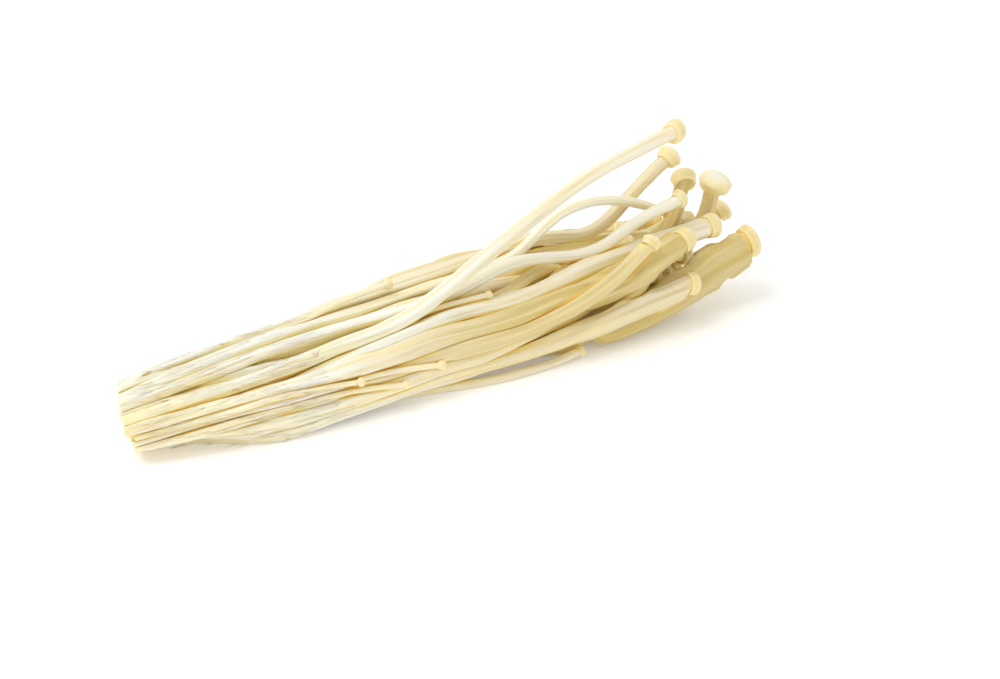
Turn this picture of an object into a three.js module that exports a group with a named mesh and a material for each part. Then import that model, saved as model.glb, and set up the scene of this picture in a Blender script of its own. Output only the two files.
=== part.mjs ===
// A bunch of enoki mushrooms lying on its side: some fifty long thin mushrooms, each a stem with a
// small knob of a cap, cut off above the root, a little aslant, with their feet packed together.
// Every mushroom grew as one piece, so every mushroom is one closed mesh, with its foot at its own
// origin. Millimetres, +X from the cut feet to the caps, +Y across, +Z up. The origin of the whole
// bunch is the middle of the rectangle that it covers on the table.
import * as THREE from "three";

// The bunch as a whole. Its section is an oval, given by half its width, half its height and the
// place of its middle, where it is cut and at further stations along it.
const SECTION = {
  along: [0, 30, 60, 90, 125, 160],
  halfWidth: [8.6, 12.6, 13.6, 14.2, 15.2, 16.0],
  halfHeight: [5.5, 7.4, 8.2, 8.4, 8.8, 9.0],
  middleAcross: [0, -3.2, -1.2, 0.6, 3.8, 6.0],
  middleUp: [5.8, 7.2, 8.2, 9.4, 11.2, 12.6],
};
const FOOT_PITCH = 1.82; // between the middles of neighbouring feet
const CUT_RAGGEDNESS = 1.0; // how far a foot sticks out of the cut, or stops short of it
const CUT_SLANT = 0.5; // how far back the cut goes for each millimetre across
const CUT_LEAN = 0.45; // how far forward it comes for each millimetre up

// The mushrooms that fill the bunch.
const FILL = {
  shortest: 92,
  longest: 138,
  footDiameter: 1.68,
  stemDiameter: [2.2, 2.75],
  capDiameter: [3.6, 6.2],
  sway: 2.6, // how far a stem wanders to the side
  swayTurns: { across: 5, up: 4 }, // radians that its wandering goes through from foot to cap
  drift: 0.45, // how far it changes its place in the section, as a share of the half width
  headBend: 5.0, // how far the last stretch can turn away
  tuck: 0.9, // how much of the section they keep to, under the mushrooms on the visible side
  headsAcross: [-0.1, 0.8], // shares of the half width
  headsUp: [-0.85, -0.3], // shares of the half height
};
const FLARE_FROM = 0.5; // share of the stem's length at which it starts to widen towards the cap
const TOP_FLARE = 1.15; // the stem under the cap, as a share of the stem lower down
const GOLDEN_SHARE = 0.618034; // steps by it fill a range evenly

// The mushrooms on the visible side, each by points that its middle line passes through. The first
// point's x is how far the foot stops short of the cut.
const STEMS_IN_VIEW = [
  {
    name: "high_mushroom",
    points: [
      [0.2, -7, 8.2], [10.5, -9.2, 10.6], [26.5, -11, 13], [39.6, -10.8, 14.8], [50.8, -10, 15.6],
      [62.8, -8.8, 19], [73.9, -7.6, 24.2], [79.9, -7, 26.9], [86.4, -6.4, 29.5],
      [94.9, -5.4, 33.3], [105.1, -4.2, 36.5], [114.7, -3.1, 38.3], [122.2, -2, 39.4],
    ],
    stemDiameter: 2.9,
    capDiameter: 5.2,
  },
  {
    name: "second_high_mushroom",
    points: [
      [0.3, 1.8, 10.2], [22, 2.2, 13.2], [45, 3.2, 16], [68, 4, 17.4], [90, 4, 18],
      [100, 4, 17.6], [108.6, 4, 18.6], [114.6, 4, 21.9], [119.9, 4, 26.3], [125.6, 4, 30.4],
    ],
    stemDiameter: 2.8,
    capDiameter: 5.0,
  },
  {
    name: "looped_mushroom",
    points: [
      [0.5, -1.6, 10.8], [14, -1.9, 12.8], [33, 0, 14.8], [56, 0.2, 16], [70, 1.2, 16.8],
      [78.9, 1.2, 17.3], [84.6, 1.2, 18.2], [89.2, 1.2, 19.9], [93.1, 1.2, 22.9], [96.1, 1.4, 24.8],
      [98.7, 1.6, 25.7], [103.3, 1.8, 26.4], [107.9, 2, 26.2], [111.7, 2, 25.7], [118.6, 2, 23.1],
      [129.5, 2, 17.4],
    ],
    stemDiameter: 1.9,
    capDiameter: 4.0,
  },
  {
    name: "crossing_mushroom",
    points: [
      [0.6, -4.4, 9.6], [14, -4.6, 12.2], [31, -4.4, 14.4], [51, -5.2, 15.6], [67.4, -6, 17],
      [77.3, -5, 19.4], [86, -4.5, 20.2], [94.4, -5, 18.8], [100.2, -5.5, 18.4], [106, -6, 19.9],
      [112.2, -6, 23.1], [121.8, -6, 25.8],
    ],
    stemDiameter: 2.4,
    capDiameter: 4.0,
  },
  {
    name: "upturned_mushroom",
    points: [
      [0.1, 4.4, 9.4], [30, 4.6, 12.8], [60, 6.4, 15.2], [90, 4.6, 15], [105, 3.2, 13.2],
      [115, 1.6, 12.8], [121.6, 0.6, 14.8], [124.8, 0, 18], [126.2, 0, 22], [127.8, 0, 25.6],
    ],
    stemDiameter: 2.6,
    topDiameter: 3.2,
    capDiameter: 5.4,
  },
  {
    name: "big_cap_mushroom",
    points: [
      [0.2, 6.2, 8.2], [30, 7.4, 10.8], [60, 9.2, 13.2], [95, 7.5, 12.8], [119.7, 4.4, 11.4],
      [130.2, 3, 12], [134.6, 2.4, 14.6], [136, 2, 18], [137.2, 2, 21.6],
    ],
    stemDiameter: 2.8,
    topDiameter: 3.3,
    capDiameter: 6.4,
  },
  {
    name: "shaded_mushroom",
    points: [
      [0.3, 7.4, 6.2], [60, 12, 10.8], [105, 11, 11.8], [128, 8.6, 10.2], [138, 7.6, 10.6],
      [142.4, 7, 13.4],
    ],
    stemDiameter: 2.6,
    capDiameter: 5.2,
  },
  {
    name: "wavy_mushroom",
    points: [
      [0.6, -8, 5.6], [18, -12.2, 8.6], [35.6, -13.6, 11.2], [54.7, -11.4, 13.2], [65.7, -9.6, 14.2],
      [75.4, -10.2, 13.8], [86, -9.6, 14.2], [92.5, -7.8, 15.2], [106, -6.6, 17], [118, -6.4, 17.2],
      [129.6, -6, 18],
    ],
    stemDiameter: 3.0,
    topDiameter: 4.2,
    capDiameter: 5.6,
  },
  {
    name: "broad_mushroom",
    points: [
      [-0.4, -8.2, 6.6], [19.4, -12.5, 8.4], [38, -14.2, 10.2], [55.6, -13, 11.4], [70.7, -13, 10.6],
      [84.3, -12.8, 11], [99.2, -12.4, 12.2], [108, -11.6, 14.4], [119, -11, 18.6],
    ],
    stemDiameter: 3.6,
    topDiameter: 4.6,
    capDiameter: 5.6,
  },
  {
    name: "curved_front_mushroom",
    points: [
      [0.8, -8.8, 3.4], [19, -13.6, 5.6], [38, -15.2, 7.6], [56, -14.6, 8.4], [67, -14.2, 8.9],
      [79, -14, 9.8], [86.9, -14, 11.5], [94.8, -14, 13.4], [101.3, -14, 15.8], [109.4, -14, 21.2],
    ],
    stemDiameter: 2.4,
    topDiameter: 3.0,
    capDiameter: 3.9,
  },
  {
    name: "far_end_mushroom",
    points: [
      [0.2, -5.8, 5], [40, -10.6, 6.8], [70, -11, 7], [101, -9.9, 6.9], [113.9, -9.4, 7.2],
      [127, -8.6, 8.6], [132.6, -8, 10.8], [138.2, -7.8, 12.4],
    ],
    stemDiameter: 3.3,
    topDiameter: 5.6,
    capDiameter: 7.0,
  },
  {
    name: "belly_mushroom",
    points: [
      [-0.6, -6.4, 3.6], [3.5, -8.2, 4.6], [9, -10.4, 4.8], [14.2, -12.6, 4.2], [21.5, -14.8, 4.4],
      [30, -15.4, 4.6], [51, -14.8, 5.6], [66, -14.2, 6.2], [84, -12, 7], [104, -8, 8],
    ],
    stemDiameter: 2.4,
    capDiameter: 4.4,
  },
  {
    name: "low_front_mushroom",
    points: [
      [-0.3, -4.6, 1.2], [5.5, -5.2, 1.6], [11, -7, 1.5], [15, -9.6, 1.2], [19.5, -12.4, 1.2],
      [25, -14.2, 1.3], [31.3, -14.8, 2.3], [46.5, -14.3, 3.8], [60.6, -14, 4.9], [77, -14, 5.1],
      [91, -14, 6.5], [103, -14, 7.8], [119.6, -14, 10],
    ],
    stemDiameter: 2.7,
    topDiameter: 3.6,
    capDiameter: 4.9,
  },
  {
    name: "trailing_mushroom",
    points: [
      [1.1, -2.6, 1], [20, -8, 0.9], [38, -10.2, 0.9], [53, -11.6, 1], [60.7, -12.8, 1],
      [68.1, -14.4, 0.9], [76.2, -15.4, 0.9], [88.3, -14.9, 1], [92.4, -14.5, 1.6],
    ],
    stemDiameter: 1.7,
    capDiameter: 2.3,
  },
];

// Stunted mushrooms, thin as matches, that lie on the outside of the bunch.
const PINS = [
  {
    points: [[1.2, -7.6, 7], [30, -10.6, 11.4], [50, -8.6, 13.8], [61, -8.6, 16.2], [74.2, -9, 16.8]],
    capDiameter: 1.7,
  },
  { points: [[0.8, -9.4, 4.6], [30, -15.6, 9.2], [41.9, -15.4, 9.4], [59, -15.2, 8.4]], capDiameter: 1.9 },
  { points: [[1.4, -9.2, 5.6], [24.4, -15.6, 9.8], [32.1, -16, 9.8], [40.6, -16, 9.2]], capDiameter: 1.9 },
  {
    points: [[1, -9.6, 3.6], [30.6, -16.2, 7.6], [39.5, -16.4, 7.4], [50.6, -16.4, 6.2]],
    capDiameter: 1.8,
  },
  { points: [[0.6, -1, 11.6], [37.3, 0.6, 16.2], [48, 0.8, 18.3], [56.4, 1, 19.2]], capDiameter: 2.3 },
  { points: [[0.6, 8.6, 6], [40, 10.6, 11], [70, 13.4, 12.8], [92, 15.6, 13.2]], capDiameter: 2.4 },
];
const PIN_DIAMETER = 1.1;

// Shares of a cap's diameter.
const CAP_DEPTH = 0.33; // top of the stem to the cap's widest place
const CAP_CROWN = 0.46; // widest place to the crown
const CAP_RIM = { depth: 0.3, width: 0.76 }; // below the widest place
const CAP_SHOULDER = { height: 0.3, width: 0.72 }; // above the widest place

const SIDES = 7;
const STATIONS = 13; // rings along a stem
const FINE_STEPS = 200; // steps in which a middle line is measured
const TURN_WORTH = 22; // a turn of one radian gets as many stations as this length does
const GAP = 0.12; // kept between neighbours
const TABLE_SINK = 0.26; // how much a stem that lies on the table is flattened

// How the bunch settles: stems push each other apart, lie on the table, and keep their length and,
// as far as they can, the shape they were drawn in.
const SETTLE = {
  rounds: 260,
  closingRounds: 160, // at the end, when they are only pushed apart
  neighbourRounds: 8, // rounds between two searches for neighbours
  reach: 3,
  stiffness: 0.25,
  footHoming: 0.3,
};
const HOMING = { inView: 0.12, fill: 0.01 }; // how firmly a mushroom keeps the place it was drawn in

const STEM_COLOUR = 0xf3e9c4;
const PIN_COLOUR = 0xf6efd2;

// The same numbers, from 0 to 1, in every build.
function seededRandom(seed) {
  let state = seed;
  return () => {
    state = (Math.imul(state, 1664525) + 1013904223) >>> 0;
    return state / 2 ** 32;
  };
}
const random = seededRandom(20);
const between = (low, high) => low + (high - low) * random();

// Reads a line of SECTION at a distance along the bunch.
function sectionAt(row, along) {
  const xs = SECTION.along;
  const ys = SECTION[row];
  const last = xs.length - 1;
  const x = Math.min(Math.max(along, xs[0]), xs[last]);
  const i = Math.min(xs.findLastIndex((start) => start <= x), last - 1);
  return ys[i] + ((ys[i + 1] - ys[i]) * (x - xs[i])) / (xs[i + 1] - xs[i]);
}

// A place in the oval section, by shares of its half width and half height, as a point.
function placeInSection(along, acrossShare, upShare) {
  return new THREE.Vector3(
    along,
    sectionAt("middleAcross", along) + acrossShare * sectionAt("halfWidth", along),
    sectionAt("middleUp", along) + upShare * sectionAt("halfHeight", along),
  );
}

// The feet stand in staggered rows inside the oval of the cut end.
function footPlaces() {
  const halfWidth = SECTION.halfWidth[0];
  const halfHeight = SECTION.halfHeight[0];
  const rowStep = FOOT_PITCH * Math.sin(Math.PI / 3);
  const columns = Math.ceil(halfWidth / FOOT_PITCH); // on each side of the middle one
  const places = [];
  for (let row = -Math.floor(halfHeight / rowStep); row * rowStep <= halfHeight; row++) {
    const shift = row % 2 ? FOOT_PITCH / 2 : 0;
    for (let column = -columns; column <= columns; column++) {
      const acrossShare = (column * FOOT_PITCH + shift) / halfWidth;
      const upShare = (row * rowStep) / halfHeight;
      if (Math.hypot(acrossShare, upShare) <= 1) places.push({ acrossShare, upShare });
    }
  }
  return places;
}

// A curve through points, read at stations that stand closer together where it turns.
function stationsAlong(points) {
  const curve = new THREE.CatmullRomCurve3(points, false, "centripetal");
  const fine = curve.getSpacedPoints(FINE_STEPS);
  const steps = fine.slice(1).map((point, i) => point.clone().sub(fine[i]));
  const worth = [0];
  steps.forEach((step, i) => {
    worth.push(worth[i] + step.length() + TURN_WORTH * step.angleTo(steps[Math.max(i - 1, 0)]));
  });
  return Array.from({ length: STATIONS }, (_, i) => {
    const wanted = (worth.at(-1) * i) / (STATIONS - 1);
    const k = Math.min(worth.findLastIndex((w) => w <= wanted), FINE_STEPS - 1);
    const share = (k + (wanted - worth[k]) / (worth[k + 1] - worth[k])) / FINE_STEPS;
    return curve.getPointAt(Math.min(share, 1));
  });
}

// A mushroom before it is settled: its middle line, with the middle of the cap as the last point,
// and the radius of the stem at each station. A stem thickens over its first half, and flares
// again on its way up to the cap.
function mushroom(name, points, size) {
  const line = stationsAlong(points);
  const capRadius = size.capDiameter / 2;
  const heading = line.at(-1).clone().sub(line.at(-2)).normalize();
  line.push(line.at(-1).clone().addScaledVector(heading, CAP_DEPTH * size.capDiameter));
  const radii = Array.from({ length: STATIONS }, (_, i) => {
    const share = i / (STATIONS - 1);
    const swell = Math.min(1, share * 2) * (size.stemDiameter - size.footDiameter);
    const flare = THREE.MathUtils.smoothstep(share, FLARE_FROM, 1) * (size.topDiameter - size.stemDiameter);
    return (size.footDiameter + swell + flare) / 2;
  });
  return { name, line, radii, capRadius, homing: size.homing, colour: size.colour };
}

// Where the cut is, for a foot at a place in the section.
function cutAt(foot) {
  return CUT_SLANT * foot.y - CUT_LEAN * (foot.z - SECTION.middleUp[0]);
}

function vectorsFromCut(points) {
  const vectors = points.map((p) => new THREE.Vector3(...p));
  vectors[0].x += cutAt(vectors[0]);
  return vectors;
}

function mushroomsInView() {
  return STEMS_IN_VIEW.map((s) =>
    mushroom(s.name, vectorsFromCut(s.points), {
      footDiameter: Math.min(FILL.footDiameter, s.stemDiameter),
      stemDiameter: s.stemDiameter,
      topDiameter: s.topDiameter ?? s.stemDiameter,
      capDiameter: s.capDiameter,
      homing: HOMING.inView,
      colour: STEM_COLOUR,
    }),
  );
}

function pinMushrooms() {
  return PINS.map((pin, i) =>
    mushroom(`pin_mushroom_${i + 1}`, vectorsFromCut(pin.points), {
      footDiameter: PIN_DIAMETER,
      stemDiameter: PIN_DIAMETER,
      topDiameter: PIN_DIAMETER,
      capDiameter: pin.capDiameter,
      homing: HOMING.inView,
      colour: PIN_COLOUR,
    }),
  );
}

// Where in the section a mushroom's head ends up: near its foot's place, and inside the oval.
function headPlaceFor(acrossShare, upShare) {
  const across = acrossShare + between(-FILL.drift, FILL.drift);
  const up = upShare + between(-FILL.drift, FILL.drift);
  const outside = Math.max(1, Math.hypot(across, up));
  return {
    acrossShare: THREE.MathUtils.clamp(across / outside, ...FILL.headsAcross),
    upShare: THREE.MathUtils.clamp(up / outside, ...FILL.headsUp),
  };
}

// One mushroom from each foot place that no mushroom in view has taken.
function fillMushrooms(taken) {
  const free = footPlaces();
  for (const { line } of taken) {
    const away = (place) => placeInSection(line[0].x, place.acrossShare, place.upShare).distanceTo(line[0]);
    free.sort((a, b) => away(a) - away(b));
    free.shift();
  }
  free.sort((a, b) => a.upShare - b.upShare || a.acrossShare - b.acrossShare);
  return free.map(({ acrossShare, upShare }, i) => {
    const headPlace = headPlaceFor(acrossShare, upShare);
    const length = FILL.shortest + (FILL.longest - FILL.shortest) * ((i * GOLDEN_SHARE) % 1);
    const phase = between(0, 2 * Math.PI);
    const foot = placeInSection(0, acrossShare, upShare);
    foot.x = cutAt(foot) + between(-1, 1) * CUT_RAGGEDNESS;
    const points = [foot];
    for (const share of [0.2, 0.4, 0.6, 0.8]) {
      const across = acrossShare + (headPlace.acrossShare - acrossShare) * share;
      const up = upShare + (headPlace.upShare - upShare) * share;
      const point = placeInSection(length * share, FILL.tuck * across, FILL.tuck * up);
      point.y += FILL.sway * share * Math.sin(phase + FILL.swayTurns.across * share);
      point.z += FILL.sway * share * Math.cos(phase + FILL.swayTurns.up * share);
      points.push(point);
    }
    const tip = placeInSection(length, headPlace.acrossShare, headPlace.upShare);
    tip.y += headPlace.acrossShare * FILL.headBend * random();
    tip.z += headPlace.upShare * FILL.headBend * random();
    points.push(tip);
    const [thickness, big] = [random(), random()];
    const stemDiameter = THREE.MathUtils.lerp(...FILL.stemDiameter, thickness);
    return mushroom(`mushroom_${String(i + 1).padStart(2, "0")}`, points, {
      footDiameter: FILL.footDiameter,
      stemDiameter,
      topDiameter: TOP_FLARE * stemDiameter,
      capDiameter: THREE.MathUtils.lerp(...FILL.capDiameter, big),
      homing: HOMING.fill,
      colour: STEM_COLOUR,
    });
  });
}

// The nearest points of two straight stretches, as shares of each.
function nearestShares(p, q, r, s) {
  const d1 = [q[0] - p[0], q[1] - p[1], q[2] - p[2]];
  const d2 = [s[0] - r[0], s[1] - r[1], s[2] - r[2]];
  const w = [p[0] - r[0], p[1] - r[1], p[2] - r[2]];
  const dot = (a, b) => a[0] * b[0] + a[1] * b[1] + a[2] * b[2];
  const clamp = (x) => Math.min(1, Math.max(0, x));
  const tiny = 1e-9;
  const a = dot(d1, d1);
  const e = dot(d2, d2);
  const f = dot(d2, w);
  if (a < tiny && e < tiny) return [0, 0];
  if (a < tiny) return [0, clamp(f / e)];
  const c = dot(d1, w);
  if (e < tiny) return [clamp(-c / a), 0];
  const b = dot(d1, d2);
  const denominator = a * e - b * b;
  const first = denominator > tiny ? clamp((b * f - c * e) / denominator) : 0.5;
  const second = (b * first + f) / e;
  if (second < 0) return [clamp(-c / a), 0];
  if (second > 1) return [clamp((b - c) / a), 1];
  return [first, second];
}

// Pushes two stretches apart until their surfaces are GAP from each other.
function pushApart(one, other) {
  const { a, b, ra, rb } = one;
  const { a: c, b: d, ra: rc, rb: rd } = other;
  const [s, t] = nearestShares(a, b, c, d);
  const away = [0, 1, 2].map((i) => a[i] + (b[i] - a[i]) * s - c[i] - (d[i] - c[i]) * t);
  const distance = Math.hypot(...away) || 1e-6;
  const wanted = ra + (rb - ra) * s + rc + (rd - rc) * t + GAP;
  if (distance >= wanted) return;
  const [p, q] = [1 - s, 1 - t];
  const weights = p ** 2 * one.ma + s ** 2 * one.mb + q ** 2 * other.ma + t ** 2 * other.mb;
  const push = (wanted - distance) / distance / weights;
  for (let i = 0; i < 3; i++) {
    a[i] += away[i] * push * p * one.ma;
    b[i] += away[i] * push * s * one.mb;
    c[i] -= away[i] * push * q * other.ma;
    d[i] -= away[i] * push * t * other.mb;
  }
}

// A mushroom as plain numbers, with the shape that it is drawn in.
function strandOf({ line, radii, capRadius, homing }) {
  const points = line.map((p) => p.toArray());
  const inner = points.slice(1, -1);
  return {
    points,
    home: points.map((p) => [...p]),
    lengths: points.slice(1).map((p, i) => Math.hypot(...p.map((x, k) => x - points[i][k]))),
    bends: inner.map((p, i) => p.map((x, k) => x - (points[i][k] + points[i + 2][k]) / 2)),
    homing,
    radii: [...radii, capRadius],
  };
}

// The stretches between a strand's stations, and its cap as a ball.
function stretchesOf({ points, radii }, owner) {
  const stem = radii.slice(0, -2).map((radius, i) => ({
    a: points[i],
    b: points[i + 1],
    ra: radius,
    rb: radii[i + 1],
    ma: 1,
    mb: 1,
    owner,
  }));
  const [end, radius] = [points.at(-1), radii.at(-1)];
  return [...stem, { a: end, b: end, ra: radius, rb: radius, ma: 1, mb: 0, owner }];
}

// The pairs of stretches that are close enough to meet soon.
function neighbourPairs(stretches) {
  const middles = stretches.map(({ a, b }) => a.map((x, k) => (x + b[k]) / 2));
  const reaches = stretches.map(({ a, b, ra, rb }) => {
    const halfLength = Math.hypot(...a.map((x, k) => x - b[k])) / 2;
    return halfLength + Math.max(ra, rb) + SETTLE.reach / 2;
  });
  const pairs = [];
  for (let i = 0; i < stretches.length; i++) {
    for (let j = i + 1; j < stretches.length; j++) {
      if (stretches[i].owner === stretches[j].owner) continue;
      const [p, q] = [middles[i], middles[j]];
      const reach = reaches[i] + reaches[j];
      if (Math.abs(p[0] - q[0]) > reach || Math.abs(p[1] - q[1]) > reach) continue;
      const distance = Math.hypot(p[0] - q[0], p[1] - q[1], p[2] - q[2]);
      if (distance < reach) pairs.push([stretches[i], stretches[j]]);
    }
  }
  return pairs;
}

// One step of a strand towards its own shape, its own place and its own length.
function relax({ points, home, lengths, bends, homing }) {
  bends.forEach((bend, i) => {
    for (let k = 0; k < 3; k++) {
      const wanted = (points[i][k] + points[i + 2][k]) / 2 + bend[k];
      points[i + 1][k] += SETTLE.stiffness * (wanted - points[i + 1][k]);
    }
  });
  points.forEach((point, i) => {
    const pull = i === 0 ? SETTLE.footHoming : homing;
    for (let k = 0; k < 3; k++) point[k] += pull * (home[i][k] - point[k]);
  });
  lengths.forEach((length, i) => {
    const away = points[i + 1].map((x, k) => x - points[i][k]);
    const share = (Math.hypot(...away) - length) / Math.hypot(...away) / 2;
    for (let k = 0; k < 3; k++) {
      points[i + 1][k] -= away[k] * share;
      points[i][k] += away[k] * share;
    }
  });
}

// Keeps the top of a stem straight behind its cap, so that a squeezed cap can't fold into it.
function straightenHead({ points, lengths }) {
  const [before, top, cap] = points.slice(-3);
  const away = before.map((x, k) => x - cap[k]);
  const share = lengths.at(-1) / Math.hypot(...away);
  for (let k = 0; k < 3; k++) top[k] = cap[k] + away[k] * share;
}

function settle(mushrooms) {
  const strands = mushrooms.map(strandOf);
  const stretches = strands.flatMap(stretchesOf);
  let pairs = [];
  for (let round = 0; round < SETTLE.rounds + SETTLE.closingRounds; round++) {
    if (round % SETTLE.neighbourRounds === 0) pairs = neighbourPairs(stretches);
    if (round < SETTLE.rounds) strands.forEach(relax);
    for (const [one, other] of pairs) pushApart(one, other);
    strands.forEach(straightenHead);
    for (const { points, radii } of strands) {
      points.forEach((point, i) => {
        point[2] = Math.max(point[2], radii[i] - TABLE_SINK);
      });
    }
  }
  mushrooms.forEach((m, i) => {
    m.line = strands[i].points.map((p) => new THREE.Vector3(...p));
  });
}

// The rings of a mushroom: where each one's middle is, and its radius.
function ringsOf({ line, radii, capRadius }) {
  const capMiddle = line.at(-1);
  const heading = capMiddle.clone().sub(line.at(-2)).normalize();
  const onCap = (share, width) => ({
    middle: capMiddle.clone().addScaledVector(heading, share * 2 * capRadius),
    radius: width * capRadius,
  });
  return [
    ...radii.map((radius, i) => ({ middle: line[i], radius })),
    onCap(-CAP_RIM.depth, CAP_RIM.width),
    onCap(0, 1),
    onCap(CAP_SHOULDER.height, CAP_SHOULDER.width),
    onCap(CAP_CROWN, 0),
  ];
}

// Directions across the line at each ring, carried along it so that the mesh doesn't twist.
function framesAlong(middles) {
  let up = new THREE.Vector3(0, 0, 1);
  return middles.map((_, i) => {
    const before = middles[Math.max(i - 1, 0)];
    const after = middles[Math.min(i + 1, middles.length - 1)];
    const ahead = after.clone().sub(before).normalize();
    up = up.clone().addScaledVector(ahead, -up.dot(ahead)).normalize();
    return { up, side: ahead.clone().cross(up) };
  });
}

// A turned shape, bent along the mushroom's middle line and pressed flat where it lies on the table.
function mushroomMesh(m) {
  const rings = [{ middle: m.line[0], radius: 0 }, ...ringsOf(m)];
  const profile = rings.map(({ radius }, i) => new THREE.Vector2(radius, i));
  const frames = framesAlong(rings.map((ring) => ring.middle));
  frames[0] = frames[1];
  const geometry = new THREE.LatheGeometry(profile, SIDES);
  const position = geometry.getAttribute("position");
  const point = new THREE.Vector3();
  for (let v = 0; v < position.count; v++) {
    const i = v % rings.length;
    const across = position.getX(v);
    const upwards = position.getZ(v);
    point.copy(rings[i].middle);
    point.addScaledVector(frames[i].side, across).addScaledVector(frames[i].up, upwards);
    point.z = Math.max(point.z, 0);
    point.sub(m.line[0]);
    position.setXYZ(v, point.x, point.y, point.z);
  }
  geometry.computeVertexNormals();
  const material = new THREE.MeshStandardMaterial({ color: m.colour, roughness: 0.55, metalness: 0 });
  const mesh = new THREE.Mesh(geometry, material);
  mesh.name = m.name;
  mesh.position.copy(m.line[0]);
  return mesh;
}

const inView = mushroomsInView();
const mushrooms = [...inView, ...pinMushrooms(), ...fillMushrooms(inView)];
settle(mushrooms);

const bunch = new THREE.Group();
bunch.name = "enoki_bunch";
bunch.add(...mushrooms.map(mushroomMesh));

// The origin goes to the middle of the bunch's footprint.
const box = new THREE.Box3().setFromObject(bunch);
bunch.position.set(-(box.min.x + box.max.x) / 2, -(box.min.y + box.max.y) / 2, -box.min.z);

export default bunch;
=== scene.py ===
# An enoki bunch lying on its side: long pale stems that run from the cut feet to small ivory caps.
# Metres, +X from the feet to the caps, +Z up.
import math
import random

import bmesh
import bpy
import numpy as np
from mathutils import Matrix, Vector, noise
from mathutils.bvhtree import BVHTree


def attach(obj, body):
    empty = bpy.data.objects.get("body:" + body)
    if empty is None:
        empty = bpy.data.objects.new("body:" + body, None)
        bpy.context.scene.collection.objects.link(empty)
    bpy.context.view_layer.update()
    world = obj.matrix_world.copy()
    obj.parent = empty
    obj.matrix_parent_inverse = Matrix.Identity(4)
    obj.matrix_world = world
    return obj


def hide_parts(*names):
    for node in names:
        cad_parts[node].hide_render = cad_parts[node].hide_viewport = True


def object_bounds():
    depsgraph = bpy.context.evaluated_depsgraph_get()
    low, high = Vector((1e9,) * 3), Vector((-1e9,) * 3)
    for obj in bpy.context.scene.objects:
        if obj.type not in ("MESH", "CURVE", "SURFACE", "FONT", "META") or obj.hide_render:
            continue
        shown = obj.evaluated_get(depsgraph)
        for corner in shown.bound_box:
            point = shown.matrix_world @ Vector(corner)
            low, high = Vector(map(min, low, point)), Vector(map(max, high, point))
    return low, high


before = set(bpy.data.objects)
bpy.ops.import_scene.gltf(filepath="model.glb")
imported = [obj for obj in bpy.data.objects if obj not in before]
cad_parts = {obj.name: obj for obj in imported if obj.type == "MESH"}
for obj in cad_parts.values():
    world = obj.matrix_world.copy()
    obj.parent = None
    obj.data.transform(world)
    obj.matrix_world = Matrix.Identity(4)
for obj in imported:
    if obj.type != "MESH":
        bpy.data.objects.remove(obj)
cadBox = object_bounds()
mm = 0.001


def tint(red, green, blue):
    # a colour as seen on a screen, 0 to 255, as the linear value that shaders work in
    def linear(level):
        share = level / 255
        return share / 12.92 if share <= 0.04045 else ((share + 0.055) / 1.055) ** 2.4

    return (linear(red), linear(green), linear(blue), 1.0)


# helpers that build node trees
def addNode(tree, kind, inputs=None, **settings):
    node = tree.nodes.new(kind)
    for key, value in settings.items():
        setattr(node, key, value)
    for key, value in (inputs or {}).items():
        plug(tree, value, node.inputs[key])
    return node


def plug(tree, value, socket):
    # value is an output socket to link from, or a plain value to set
    if isinstance(value, bpy.types.NodeSocket):
        tree.links.new(value, socket)
    else:
        socket.default_value = value


def newGroup(name, kind, inputs, outputs):
    # inputs and outputs are (name, socket type) or (name, socket type, value)
    tree = bpy.data.node_groups.new(name, kind)
    for way, sockets in (("INPUT", inputs), ("OUTPUT", outputs)):
        for label, socketType, *value in sockets:
            socket = tree.interface.new_socket(label, in_out=way, socket_type=socketType)
            if value:
                socket.default_value = value[0]
    return tree, tree.nodes.new("NodeGroupInput").outputs, tree.nodes.new("NodeGroupOutput").inputs


def maths(tree, operation, first, second=0.0, third=0.0):
    return addNode(tree, "ShaderNodeMath", {0: first, 1: second, 2: third}, operation=operation).outputs[0]


def setInput(modifier, label, value):
    modifier[modifier.node_group.interface.items_tree[label].identifier] = value


def plainMesh(holder):
    graph = bpy.context.evaluated_depsgraph_get()
    return bpy.data.meshes.new_from_object(holder.evaluated_get(graph), depsgraph=graph)


# how the rings of each node are laid out in the frame
cadStems = {
    "sides": 7,
    "stemRings": 13,
    "widestRing": 15,  # counted from the foot's pole
}


def ringsOf(node):
    # the node's vertices, from the pole of the foot to the pole of the crown, ring by ring
    shape = bmesh.new()
    shape.from_mesh(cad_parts[node].data)
    bmesh.ops.remove_doubles(shape, verts=shape.verts, dist=1e-6)
    poles = [v for v in shape.verts if len(v.link_edges) == cadStems["sides"]]
    layer = [min(poles, key=lambda v: v.co.x)]
    seen = set(layer)
    rings = []
    while layer:
        rings.append(np.array([v.co for v in layer]))
        nextLayer = dict.fromkeys(e.other_vert(v) for v in layer for e in v.link_edges)
        layer = [v for v in nextLayer if v not in seen]
        seen.update(layer)
    shape.free()
    return rings


def smoothThrough(places, values, wanted):
    # a natural cubic spline through values at places, read where wanted
    n = len(places)
    h = np.diff(places)
    system = np.eye(n)
    right = np.zeros((n, values.shape[1]))
    for i in range(1, n - 1):
        system[i, i - 1 : i + 2] = h[i - 1], 2 * (h[i - 1] + h[i]), h[i]
        right[i] = 6 * ((values[i + 1] - values[i]) / h[i] - (values[i] - values[i - 1]) / h[i - 1])
    bend = np.linalg.solve(system, right)
    k = np.clip(np.searchsorted(places, wanted, side="right") - 1, 0, n - 2)
    a = ((places[k + 1] - wanted) / h[k])[:, None]
    b = 1 - a
    curved = ((a**3 - a) * bend[k] + (b**3 - b) * bend[k + 1]) * (h[k] ** 2)[:, None] / 6
    return a * values[k] + b * values[k + 1] + curved


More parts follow.
